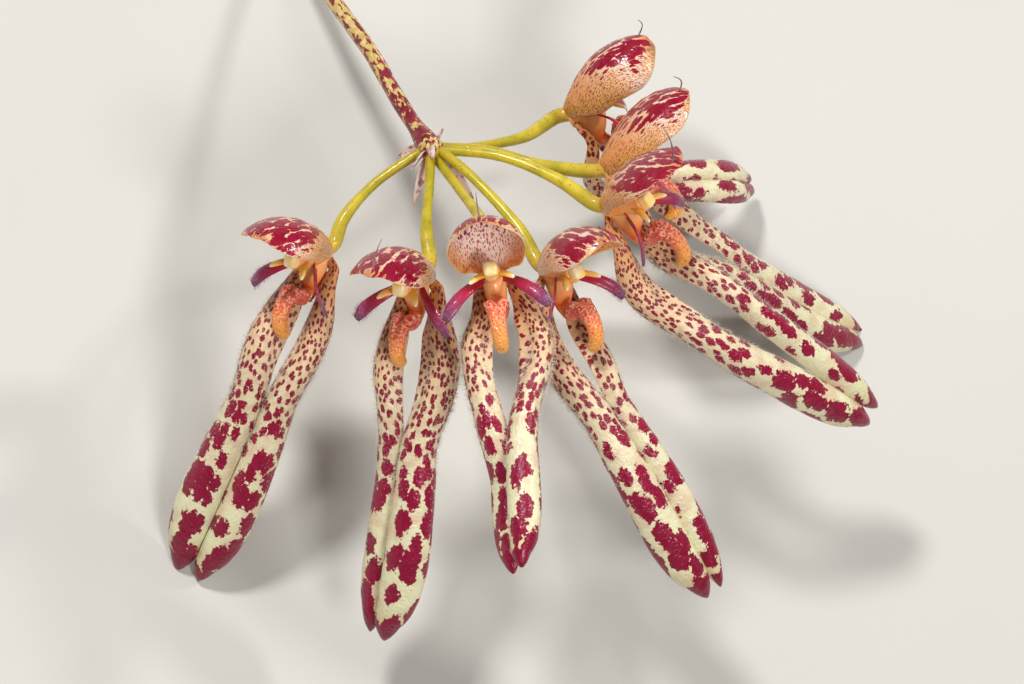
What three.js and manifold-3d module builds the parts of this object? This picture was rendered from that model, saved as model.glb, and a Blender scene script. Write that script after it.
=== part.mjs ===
// A cut flower cluster (umbel) of a Bulbophyllum orchid, lying on a surface. Millimetres, +Z up.
// It is laid out in the umbel's own frame: the hub that the flowers grow from is the origin, X runs
// along the fan of flowers, -Y down the long sepals and +Z out of its front. The whole umbel is then
// tilted and shifted, so that it rests on the cut stalk and on the sepal tips of flowers 1 and 6.
import * as THREE from "three";
import { mergeVertices } from "three/addons/utils/BufferGeometryUtils.js";
import Module from "manifold-3d";

const wasm = await Module();
wasm.setup();

const lying = { tiltX: 14, tiltY: -15, shift: [-17.4, 8, 30] }; // degrees, then the move to the origin
const clearance = 0.3; // between neighbouring pieces
const bladeArch = 0.3; // rise of a blade's middle above its edges, as a share of its half width

const stalk = {
  route: [
    [-20.5, 32.5, -34.5], [-16.4, 25.6, -27.5], [-12.2, 18.8, -20], [-7.5, 12.1, -12.5],
    [-3.3, 4.9, -5], [0, 0, 0],
  ],
  radius: 1,
  hubRadius: 1.55,
  sides: 10,
  steps: 13,
};

const bracts = [
  { toward: [-0.8, -0.1, -0.6], length: 4.5, halfWidth: 0.8 },
  { toward: [-0.3, -0.95, -0.05], length: 6, halfWidth: 0.9 },
  { toward: [0.65, -0.7, -0.25], length: 7, halfWidth: 0.9 },
  { toward: [0.1, -0.2, 0.97], length: 4, halfWidth: 0.7 },
  { toward: [0.3, 0.6, -0.75], length: 4.5, halfWidth: 0.9 },
  { toward: [-0.5, -0.5, 0.7], length: 4, halfWidth: 0.6 },
];
const bract = {
  thickness: 0.6,
  route: [[0.12, 0], [0.45, 0], [0.75, 0.15], [1.1, 0.5]], // share of the length, and how far it droops there
  widths: [0.5, 1, 1, 0.6, 0.2], // shares of the half width, from the root to the tip
  upwards: [0.3, 0.5, 0.2],
};

// Each flower stands at the end of its ovary, with its hood pointing the way it faces and its lip and
// sepals the way it hangs. hood is the lift of its hood's margin beside the column, of the margin at the
// front and of the crest. root is the way its pedicel leaves the hub, and via two points of its route.
// seam runs between the two lateral sepals, from beside the lip to their tips, and front is the way the
// pair's outer side looks. opening is half the gap between the two at its widest, and join the share of
// the length at which they meet. The last three hold a value for the left and for the right sepal: wide
// is its width as a share of the usual one, cant the degrees by which it turns outwards and tucked the
// share of its half width by which it slides beneath its twin.
const flowers = [
  {
    at: [-12.3, -12.2, 4], faces: [-0.65, -0.07, 0.76], hangs: [-0.2, -0.95, -0.26], hood: [0, 0, -0.7],
    root: [-0.85, -0.3, 0.3], via: [[-6.8, -4.4, 1.5], [-10.5, -8.7, 3]],
    seam: [
      [-15.6, -20.5, 4], [-18.3, -26.2, 4], [-21.2, -33.4, 0.5], [-25.3, -42.4, -4.5],
      [-29.8, -52, -10.5],
    ],
    front: [-0.15, 0, 1], opening: 1.1, join: 0.42, wide: [1.1, 0.98], cant: [5, 15], tucked: [0, 0],
  },
  {
    at: [-0.5, -14.7, 11], faces: [-0.47, -0.22, 0.86], hangs: [-0.06, -0.96, -0.28], hood: [-0.1, -0.1, -0.9],
    root: [0, -0.8, 0.6], via: [[-0.1, -4.5, 4], [-0.4, -10, 8.5]],
    seam: [
      [-1.5, -22, 11], [-2.3, -28.9, 10.5], [-3.6, -36.3, 8], [-5, -46, 4.5], [-7.2, -59.2, -2],
    ],
    front: [-0.1, 0, 1], opening: 1.8, join: 0.44, wide: [0.9, 1.1], cant: [40, 5], tucked: [0.4, 0],
  },
  {
    at: [7.7, -15, 16], faces: [-0.09, 0.2, 0.98], hangs: [0.14, -0.97, 0.2], hood: [-0.8, 0.3, 0],
    root: [0.45, -0.85, 0.1], via: [[3.6, -5.2, 5], [6.6, -9.8, 12]],
    seam: [
      [9.4, -22, 18], [9.1, -28.5, 20.5], [9.2, -33.8, 22.5], [9.3, -41.9, 25.5], [9.8, -49.8, 28],
    ],
    front: [0, 0, 1], opening: 2.5, join: 0.56, wide: [0.95, 0.82], cant: [45, 10], tucked: [0.8, 0],
  },
  {
    at: [13.7, -14.5, 8], faces: [0.57, 0.08, 0.82], hangs: [0.3, -0.94, -0.12], hood: [-0.4, -0.8, -0.9],
    root: [0.8, -0.15, 0.55], via: [[5.4, -3.9, 3.5], [10.8, -10, 6]],
    seam: [
      [16.3, -22, 7.2], [19.6, -27.7, 8.5], [23, -33.2, 7], [27.7, -40.6, 4], [34.8, -53.6, -2.9],
    ],
    front: [0.1, 0, 1], opening: 1.1, join: 0.4, wide: [1.03, 0.7], cant: [5, 50], tucked: [0, 0],
  },
  {
    at: [20.9, -7.1, 4], faces: [0.72, 0.24, 0.65], hangs: [0.57, -0.75, -0.35], hood: [1, 1.3, -1.1],
    root: [0.97, -0.15, 0.05], via: [[8.6, -1.1, 1.8], [15.6, -4, 3.2]],
    seam: [
      [27.1, -14.9, 2], [33, -18.7, 2], [38.6, -22.4, -1], [45.4, -26.5, -7], [54.6, -32.4, -15.8],
    ],
    front: [0.1, 0, 1], opening: 1.8, join: 0.88, wide: [0.98, 0.8], cant: [15, 35], tucked: [0, 0],
  },
  {
    at: [20.8, -2.6, -8], faces: [0.85, 0.52, -0.03], hangs: [0.44, -0.74, -0.51], hood: [0.8, 0.9, 0.4],
    root: [0.75, 0.1, -0.65], via: [[7.2, -0.2, -3.7], [13.4, -1.9, -6.8]],
    seam: [
      [30.2, -10.4, -15.1], [35.6, -12.8, -18.5], [40.9, -15.9, -24.5], [47.6, -19.6, -32.5],
      [54.4, -22.6, -40.6],
    ],
    front: [0.3, 0.1, 1], opening: 1.6, join: 0.5, wide: [0.9, 0.8], cant: [10, 60], tucked: [0, 0],
  },
  {
    at: [16.6, 4.5, -17.8], faces: [0.78, 0.55, 0.2], hangs: [0.61, -0.7, -0.39], hood: [-1.2, -2, -0.5],
    root: [0.2, -0.3, -0.93], via: [[6.4, 0.5, -8], [11.5, 1.8, -13]],
    seam: [
      [22.3, -2.8, -21.4], [27.2, -3.9, -23], [32.4, -3.3, -26], [37, -3.2, -30.6],
      [40.3, -3.6, -38],
    ],
    front: [0.3, 0.2, 1], opening: 1.8, join: 0.42, wide: [0.6, 0.6], cant: [15, 20], tucked: [0, 0],
  },
];

// Sizes in a flower's own frame: X to the right as one faces it, Y up, Z forward.
const pedicel = { rootRadius: 0.55, stemRadius: 0.72, ovaryRadius: 1, sides: 8, steps: 10 };
const column = {
  body: [[0, -0.75, 0.45], [0, -1.05, 2.2], [0, -1.15, 4.2], [0, -1.15, 5.5]],
  radius: 1.2,
  cap: [0, -1.05, 6],
  capRadius: 1.02,
  foot: [[0, -1.5, 2.3], [0, -3.1, 1.7], [0, -4.8, 1.5], [0, -6.2, 2]],
  footHalfWidths: [1.15, 1.15, 0.95, 0.8],
  footHalfThicknesses: [1.9, 1.15, 0.65, 0.5],
  footSection: [[-1, 0.4], [-0.5, 1], [0.5, 1], [1, 0.4], [1, -0.4], [0.5, -1], [-0.5, -1], [-1, -0.4]],
  footSteps: 5,
  tooth: [[0.7, -1.1, 4.6], [1.7, -1.8, 5.6], [2.3, -2.5, 6.5]],
  toothRadii: [0.55, 0.2],
};
const hood = {
  thickness: 0.8,
  innerAtLeast: 0.3, // share of the outer size that the hollow keeps at the narrow ends
  spread: 90, // degrees either side of the midrib
  // forward, crown height, margin height and half width of each station
  stations: [
    [1, 1.7, 0.4, 1.5], [2.2, 2.4, -0.15, 2.6], [4, 3.4, 0, 3.5], [6.5, 4.3, 0.4, 4.3],
    [8.6, 4.6, 0.65, 4.55], [10.4, 4.5, 0.8, 4.25], [11.7, 4.2, 1.15, 3.6], [12.7, 3.85, 1.65, 2.6],
    [13.6, 3.4, 2.35, 1],
  ],
  middleLift: [1, 5], // how far forward the lift of the margin beside the column starts and is full
  frontLift: [6, 12], // the same for the lift of the margin at the front
  crestLift: [4, 13], // and for that of the crest
  leastDepth: 0.6, // between the crown and the margin
  bristle: [[0, 3.3, 13.1], [0, 4.4, 13.9], [0, 5.6, 14.2], [0, 6.8, 13.8]],
  bristleRadii: [0.35, 0.12],
};
const petal = {
  route: [[1.7, -1.7, 3.4], [3.3, -3, 4.7], [5, -4.6, 5.3], [6.3, -6.3, 5]],
  face: [-0.3, 0.45, 0.85],
  halfWidths: [0.45, 0.68, 0.8, 0.75, 0.4],
  thickness: 0.6,
  steps: 7,
};
const lip = {
  // height and forward place of the tongue's middle line, from its hinge to its tip
  route: [
    [-6.7, 3], [-5.9, 3.6], [-5.4, 4.5], [-5.9, 5.5], [-7.1, 6.1], [-8.6, 6.1], [-9.8, 5.6],
    [-10.4, 4.8], [-10.3, 3.9],
  ],
  halfWidths: [1, 1.3, 1.35, 1.2, 1.05, 0.95, 0.9, 0.85, 0.6],
  halfThicknesses: [0.7, 0.95, 1.1, 1.05, 1, 0.95, 0.9, 0.8, 0.5],
  grooves: [0.3, 0.5, 0.55, 0.45, 0.25, 0.1, 0, 0, 0], // depth of the median groove, in half thicknesses
  // the section in half widths and half thicknesses, before the groove is cut at its top
  section: [
    [-1, 0.15], [-0.62, 0.9], [0, 1], [0.62, 0.9], [1, 0.15], [0.95, -0.25], [0.55, -0.85],
    [0, -1], [-0.55, -0.85], [-0.95, -0.25],
  ],
  top: 2, // the place in the section that the groove lowers
  steps: 11,
};
const sepal = {
  base: [1.95, -2.1, 0.2], // where a lateral sepal leaves the side of the foot
  // share of the length, half width and height of the arched cross-section
  profile: [
    [0, 0.75, 0.6], [0.05, 1.15, 1], [0.09, 1.4, 1.25], [0.13, 1.6, 1.45], [0.18, 1.75, 1.6],
    [0.23, 1.82, 1.68], [0.29, 1.88, 1.74], [0.36, 1.94, 1.78], [0.44, 2.06, 1.85],
    [0.53, 2.25, 1.95], [0.63, 2.4, 2], [0.73, 2.5, 2], [0.82, 2.45, 2], [0.89, 2.25, 1.85],
    [0.94, 1.9, 1.6], [0.975, 1.4, 1.2], [1, 0.7, 0.65],
  ],
  wrap: 100, // degrees that the arch turns either side of its crown
  thickness: 0.8,
  leastHollow: 0.15,
  facedBy: 0.25, // share of the length at which the pair has turned to its own front
  cantedBy: 0.35, // and at which each sepal has its full cant
  startGap: 1.25, // half the gap between the two at the foot
  widestAt: 0.2, // share of the length at which the gap is widest
  tuckDrop: 1.5, // a tucked sepal lies this much lower for each millimetre it is tucked
};

const finishes = {
  peduncle: { color: [0.62, 0.5, 0.22], roughness: 0.5 },
  pedicel: { color: [0.83, 0.78, 0.2], roughness: 0.4 },
  column: { color: [0.93, 0.68, 0.4], roughness: 0.4 },
  dorsal_sepal: { color: [0.62, 0.16, 0.22], roughness: 0.3 },
  petal: { color: [0.45, 0.08, 0.2], roughness: 0.5 },
  lip: { color: [0.88, 0.36, 0.16], roughness: 0.35 },
  lateral_sepal: { color: [0.9, 0.84, 0.62], roughness: 0.4 },
};

const point = ([x, y, z]) => new THREE.Vector3(x, y, z);
const radians = THREE.MathUtils.degToRad;
const smooth = THREE.MathUtils.smoothstep;

// The value at a share t along an evenly spaced list.
function along(list, t) {
  const place = THREE.MathUtils.clamp(t, 0, 1) * (list.length - 1);
  const i = Math.min(Math.floor(place), list.length - 2);
  return THREE.MathUtils.lerp(list[i], list[i + 1], place - i);
}

// A closed solid through rings of points. Each ring runs along its upper side and back along its
// lower side, so each end closes with a ladder of triangles, and both sides are split alike.
function loft(rings) {
  const count = rings[0].length;
  const half = count / 2;
  const last = (rings.length - 1) * count;
  const index = [];
  for (let r = 0; r + 1 < rings.length; r++) {
    for (let i = 0; i < count; i++) {
      const a = r * count + i;
      const b = r * count + ((i + 1) % count);
      if (i < half) index.push(a, b, b + count, a, b + count, a + count);
      else index.push(a, b, a + count, b, b + count, a + count);
    }
  }
  for (let i = 0; i + 1 < half; i++) {
    const j = count - 1 - i;
    index.push(i + 1, i, j, i + 1, j, j - 1);
    index.push(last + i, last + i + 1, last + j - 1, last + i, last + j - 1, last + j);
  }
  const geometry = new THREE.BufferGeometry();
  const numbers = rings.flat().flatMap((p) => p.toArray());
  geometry.setAttribute("position", new THREE.Float32BufferAttribute(numbers, 3));
  geometry.setIndex(index);
  return facingOut(geometry);
}

// Turns the faces round if they enclose a negative volume.
function facingOut(geometry) {
  const p = geometry.getAttribute("position");
  const index = geometry.index.array;
  const [a, b, c] = [new THREE.Vector3(), new THREE.Vector3(), new THREE.Vector3()];
  let volume = 0;
  for (let i = 0; i < index.length; i += 3) {
    a.fromBufferAttribute(p, index[i]);
    b.fromBufferAttribute(p, index[i + 1]);
    c.fromBufferAttribute(p, index[i + 2]);
    volume += a.dot(b.cross(c));
  }
  if (volume < 0) geometry.setIndex(Array.from(index).reverse());
  return geometry;
}

// A round tube along a smooth route, with its radius a function of the share of the length.
function tube(route, radiusAt, sides, steps) {
  const curve = new THREE.CatmullRomCurve3(route.map(point));
  const frames = curve.computeFrenetFrames(steps);
  const rings = [];
  for (let s = 0; s <= steps; s++) {
    const centre = curve.getPointAt(s / steps);
    const ring = [];
    for (let i = 0; i < sides; i++) {
      const angle = (2 * Math.PI * (i + 0.5)) / sides;
      const spoke = frames.normals[s].clone().multiplyScalar(Math.cos(angle));
      spoke.addScaledVector(frames.binormals[s], Math.sin(angle));
      ring.push(centre.clone().addScaledVector(spoke, radiusAt(s / steps)));
    }
    rings.push(ring);
  }
  return loft(rings);
}

// A flat blade along a route, its broad side turned to face, with half widths along its length.
function blade(route, face, halfWidths, thickness, steps) {
  const curve = new THREE.CatmullRomCurve3(route.map(point));
  const rings = [];
  for (let s = 0; s <= steps; s++) {
    const t = s / steps;
    const centre = curve.getPointAt(t);
    const side = point(face).cross(curve.getTangentAt(t)).normalize();
    const out = curve.getTangentAt(t).cross(side).normalize();
    const wide = along(halfWidths, t);
    const at = (across, lift) => centre.clone().addScaledVector(side, across).addScaledVector(out, lift);
    const keel = bladeArch * wide;
    const upper = [at(-wide, thickness / 2), at(0, keel + thickness / 2), at(wide, thickness / 2)];
    const lower = [at(wide, -thickness / 2), at(0, keel - thickness / 2), at(-wide, -thickness / 2)];
    rings.push([...upper, ...lower]);
  }
  return loft(rings);
}

function toSolid(geometry) {
  const bare = geometry.clone();
  for (const name of ["normal", "uv"]) bare.deleteAttribute(name);
  const merged = mergeVertices(bare, 1e-4);
  const mesh = new wasm.Mesh({
    numProp: 3,
    vertProperties: new Float32Array(merged.attributes.position.array),
    triVerts: new Uint32Array(merged.index.array),
  });
  return new wasm.Manifold(mesh);
}

function toGeometry(solid) {
  const mesh = solid.getMesh();
  const geometry = new THREE.BufferGeometry();
  geometry.setAttribute("position", new THREE.BufferAttribute(mesh.vertProperties, 3));
  geometry.setIndex(new THREE.BufferAttribute(mesh.triVerts, 1));
  return geometry;
}

const joined = (parts) => toGeometry(parts.map(toSolid).reduce((a, b) => a.add(b)));

function ball(centre, radius, across, down) {
  return new THREE.SphereGeometry(radius, across, down).translate(...centre);
}

// Where the umbel lies: its own frame in the part's frame.
const laid = new THREE.Matrix4();
laid.makeRotationX(radians(lying.tiltX));
laid.multiply(new THREE.Matrix4().makeRotationY(radians(lying.tiltY)));
laid.setPosition(...lying.shift);

// Cuts off what would reach below the surface that the umbel lies on, which leaves flat spots.
function restingFlat(geometry) {
  const slab = new THREE.BoxGeometry(400, 400, 20).translate(0, 0, -10).applyMatrix4(laid.clone().invert());
  return toGeometry(toSolid(geometry).subtract(toSolid(slab)));
}

function makePeduncle() {
  const stem = tube(stalk.route, () => stalk.radius, stalk.sides, stalk.steps);
  const leaves = bracts.map(({ toward, length, halfWidth }) => {
    const out = point(toward).normalize();
    const reach = ([share, droop]) => out.clone().multiplyScalar(length * share).add(point([0, -droop, 0]));
    const route = bract.route.map((step) => reach(step).toArray());
    const face = out.clone().cross(point(bract.upwards)).toArray();
    return blade(route, face, bract.widths.map((share) => share * halfWidth), bract.thickness, 5);
  });
  return restingFlat(joined([stem, ball([0, 0, 0], stalk.hubRadius, 12, 8), ...leaves]));
}

function makePedicel(flower, place) {
  const start = point(flower.root).normalize().multiplyScalar(stalk.hubRadius + clearance);
  const arriving = point([0, 0.6, -0.9]).applyMatrix4(place);
  const route = [start.toArray(), ...flower.via, arriving.toArray(), flower.at];
  const { rootRadius, stemRadius, ovaryRadius } = pedicel;
  const radii = [rootRadius, stemRadius, stemRadius, (stemRadius + ovaryRadius) / 2, ovaryRadius];
  return tube(route, (t) => along(radii, t), pedicel.sides, pedicel.steps);
}

function makeColumn() {
  const body = tube(column.body, () => column.radius, 8, 4);
  const cap = ball(column.cap, column.capRadius, 10, 6);
  const curve = new THREE.CatmullRomCurve3(column.foot.map(point));
  const rings = [];
  for (let s = 0; s <= column.footSteps; s++) {
    const t = s / column.footSteps;
    const out = curve.getTangentAt(t).cross(point([1, 0, 0])).normalize();
    const wide = along(column.footHalfWidths, t);
    const thick = along(column.footHalfThicknesses, t);
    rings.push(column.footSection.map(([across, lift]) => {
      const place = curve.getPointAt(t).add(point([across * wide, 0, 0]));
      return place.addScaledVector(out, lift * thick);
    }));
  }
  const teeth = [1, -1].map((side) => {
    const route = column.tooth.map(([x, y, z]) => [side * x, y, z]);
    return tube(route, (t) => THREE.MathUtils.lerp(...column.toothRadii, t), 6, 3);
  });
  return joined([body, cap, loft(rings), ...teeth]);
}

// The hood: an arched shell open below, drawn out to a blunt point with a fine bristle.
function makeHood(flower) {
  const angles = [-1, -0.66, -0.33, 0, 0.33, 0.66, 1].map((share) => radians(share * hood.spread));
  const edge = radians(hood.spread);
  const [middle, front, crest] = flower.hood;
  const rings = hood.stations.map(([forward, usualCrown, usualMargin, half]) => {
    const crown = usualCrown + crest * smooth(forward, ...hood.crestLift);
    const lifted = THREE.MathUtils.lerp(middle, front, smooth(forward, ...hood.frontLift));
    const lowered = usualMargin + lifted * smooth(forward, ...hood.middleLift);
    const margin = Math.min(lowered, crown - hood.leastDepth);
    const side = (wall) => {
      const wide = Math.max(half - wall, hood.innerAtLeast * half);
      const tall = Math.max(crown - margin - wall, hood.innerAtLeast * (crown - margin));
      return angles.map((a) => {
        const lift = (Math.cos(a) - Math.cos(edge)) / (1 - Math.cos(edge));
        return point([(wide * Math.sin(a)) / Math.sin(edge), margin + tall * lift, forward]);
      });
    };
    return [...side(0), ...side(hood.thickness).reverse()];
  });
  const [thick, fine] = hood.bristleRadii;
  const route = hood.bristle.map(([x, y, z]) => [x, y + crest, z]);
  const bristle = tube(route, (t) => THREE.MathUtils.lerp(thick, fine, t), 6, 4);
  return joined([loft(rings), bristle]);
}

function makePetal(side) {
  const { route, face, halfWidths, thickness, steps } = petal;
  const mirrored = ([x, y, z]) => [side * x, y, z];
  return blade(route.map(mirrored), mirrored(face), halfWidths, thickness, steps);
}

// The lip: a fleshy tongue with two ridges and a groove between them near its hinge.
function makeLip() {
  const curve = new THREE.CatmullRomCurve3(lip.route.map(([y, z]) => new THREE.Vector3(0, y, z)));
  const rings = [];
  for (let s = 0; s <= lip.steps; s++) {
    const t = s / lip.steps;
    const out = point([1, 0, 0]).cross(curve.getTangentAt(t)).negate().normalize();
    const wide = along(lip.halfWidths, t);
    const thick = along(lip.halfThicknesses, t);
    const groove = along(lip.grooves, t);
    rings.push(lip.section.map(([across, lift], i) => {
      const raised = (i === lip.top ? lift - groove : lift) * thick;
      return curve.getPointAt(t).add(point([across * wide, 0, 0])).addScaledVector(out, raised);
    }));
  }
  return loft(rings);
}

// The line of one lateral sepal: it leaves the foot, bows round the lip and meets its twin at the seam.
// Gives, for each row of the profile, the middle of the arch's open side and the way its crown looks.
function sepalLine(flower, place, side) {
  const seamStart = point([0, -2.4, 0.9]).applyMatrix4(place);
  const seam = new THREE.CatmullRomCurve3([seamStart, ...flower.seam.map(point)]);
  const base = point(sepal.base).multiply(point([side, 1, 1])).applyMatrix4(place);
  const forward = point([0, 0, 1]).transformDirection(place);
  const hand = side > 0 ? 1 : 0;
  const { widestAt } = sepal;
  return sepal.profile.map(([t, usualHalf]) => {
    if (t === 0) return { centre: base, crown: forward };
    const tangent = seam.getTangentAt(t);
    const out = forward.clone().lerp(point(flower.front).normalize(), smooth(t, 0, sepal.facedBy));
    out.addScaledVector(tangent, -out.dot(tangent)).normalize();
    const across = out.clone().cross(tangent).multiplyScalar(side);
    const opened = THREE.MathUtils.lerp(sepal.startGap, flower.opening, smooth(t, 0, widestAt));
    const gap = opened * (1 - smooth(t, widestAt, flower.join));
    const cant = radians(flower.cant[hand]) * smooth(t, 0, sepal.cantedBy);
    const half = usualHalf * flower.wide[hand];
    const tuck = half * flower.tucked[hand] * smooth(t, flower.join - 0.1, flower.join + 0.12);
    const centre = seam.getPointAt(t);
    centre.addScaledVector(across, gap + clearance / 2 + half * Math.cos(cant) - tuck);
    centre.addScaledVector(out, -half * Math.sin(cant) - tuck * sepal.tuckDrop);
    const crown = out.clone().multiplyScalar(Math.cos(cant)).addScaledVector(across, Math.sin(cant));
    return { centre, crown };
  });
}

// A lateral sepal: a long arched shell, open at the back, narrow at its base and blunt at its tip.
function makeSepal(flower, place, side) {
  const line = sepalLine(flower, place, side);
  const angles = [-1, -0.6, -0.2, 0.2, 0.6, 1].map((share) => radians(share * sepal.wrap));
  const scale = flower.wide[side > 0 ? 1 : 0];
  const rings = line.map(({ centre, crown }, s) => {
    const [before, after] = [line[Math.max(s - 1, 0)], line[Math.min(s + 1, line.length - 1)]];
    const tangent = after.centre.clone().sub(before.centre).normalize();
    const out = crown.clone().addScaledVector(tangent, -crown.dot(tangent)).normalize();
    const across = out.clone().cross(tangent);
    const [, half, height] = sepal.profile[s];
    const arch = (wall) => angles.map((a) => {
      const x = Math.max(half * scale - wall, sepal.leastHollow) * Math.sin(a);
      const y = Math.max(height - wall, sepal.leastHollow) * Math.cos(a);
      return centre.clone().addScaledVector(across, x).addScaledVector(out, y);
    });
    return [...arch(0), ...arch(sepal.thickness).reverse()];
  });
  return loft(rings);
}

function piece(name, finish, geometry) {
  const { color, roughness } = finishes[finish];
  const material = new THREE.MeshStandardMaterial({ color: new THREE.Color(...color), roughness });
  const mesh = new THREE.Mesh(geometry, material);
  mesh.name = name;
  return mesh;
}

const umbel = new THREE.Group();
umbel.applyMatrix4(laid);
umbel.add(piece("peduncle", "peduncle", makePeduncle()));
const sides = [["left", -1], ["right", 1]];
const shapes = { column: makeColumn(), lip: makeLip() };
const restingFlowers = [1, 6];

flowers.forEach((flower, i) => {
  const name = `flower_${i + 1}_`;
  const head = new THREE.Group();
  const forward = point(flower.faces).normalize();
  const right = forward.clone().cross(point(flower.hangs)).normalize();
  const up = forward.clone().cross(right);
  head.quaternion.setFromRotationMatrix(new THREE.Matrix4().makeBasis(right, up, forward));
  head.position.set(...flower.at);
  head.updateMatrix();
  for (const [kind, shape] of Object.entries(shapes)) head.add(piece(name + kind, kind, shape));
  head.add(piece(name + "dorsal_sepal", "dorsal_sepal", makeHood(flower)));
  for (const [word, side] of sides) head.add(piece(name + "petal_" + word, "petal", makePetal(side)));
  umbel.add(head);
  umbel.add(piece(name + "pedicel", "pedicel", makePedicel(flower, head.matrix)));
  for (const [word, side] of sides) {
    const shell = makeSepal(flower, head.matrix, side);
    const rested = restingFlowers.includes(i + 1) ? restingFlat(shell) : shell;
    umbel.add(piece(name + "lateral_sepal_" + word, "lateral_sepal", rested));
  }
});

const orchid = new THREE.Group();
orchid.name = "bulbophyllum_orchid";
orchid.add(umbel);

export default orchid;
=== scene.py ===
import math
import random
from bisect import bisect

import bmesh
import bpy
from mathutils import Color, Matrix, Vector, noise


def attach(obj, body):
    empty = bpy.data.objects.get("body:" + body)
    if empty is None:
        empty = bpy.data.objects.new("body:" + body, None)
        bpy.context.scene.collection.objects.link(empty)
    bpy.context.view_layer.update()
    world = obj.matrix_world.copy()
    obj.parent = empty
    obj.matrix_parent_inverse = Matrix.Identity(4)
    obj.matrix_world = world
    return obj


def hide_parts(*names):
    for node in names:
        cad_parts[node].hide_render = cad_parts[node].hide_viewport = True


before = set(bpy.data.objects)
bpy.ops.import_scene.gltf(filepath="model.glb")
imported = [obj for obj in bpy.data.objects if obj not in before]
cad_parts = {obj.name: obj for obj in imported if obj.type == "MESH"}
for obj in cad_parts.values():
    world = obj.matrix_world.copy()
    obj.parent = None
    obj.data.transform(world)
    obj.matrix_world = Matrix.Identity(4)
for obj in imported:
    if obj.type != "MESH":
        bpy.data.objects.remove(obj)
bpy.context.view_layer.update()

print("CAD frame loaded")

# The cut umbel is laid out in its own frame, in millimetres: the hub that the flowers grow from is the
# origin, X runs along the fan of flowers, -Y down the long sepals and +Z out of its front. It lies tilted.
lying = {"tiltX": 14, "tiltY": -15, "shift": (-17.4, 8, 30), "unit": 0.001}
umbelToPart = (
    Matrix.Scale(lying["unit"], 4) @ Matrix.Translation(lying["shift"])
    @ Matrix.Rotation(math.radians(lying["tiltX"]), 4, "X")
    @ Matrix.Rotation(math.radians(lying["tiltY"]), 4, "Y")
)

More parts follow.
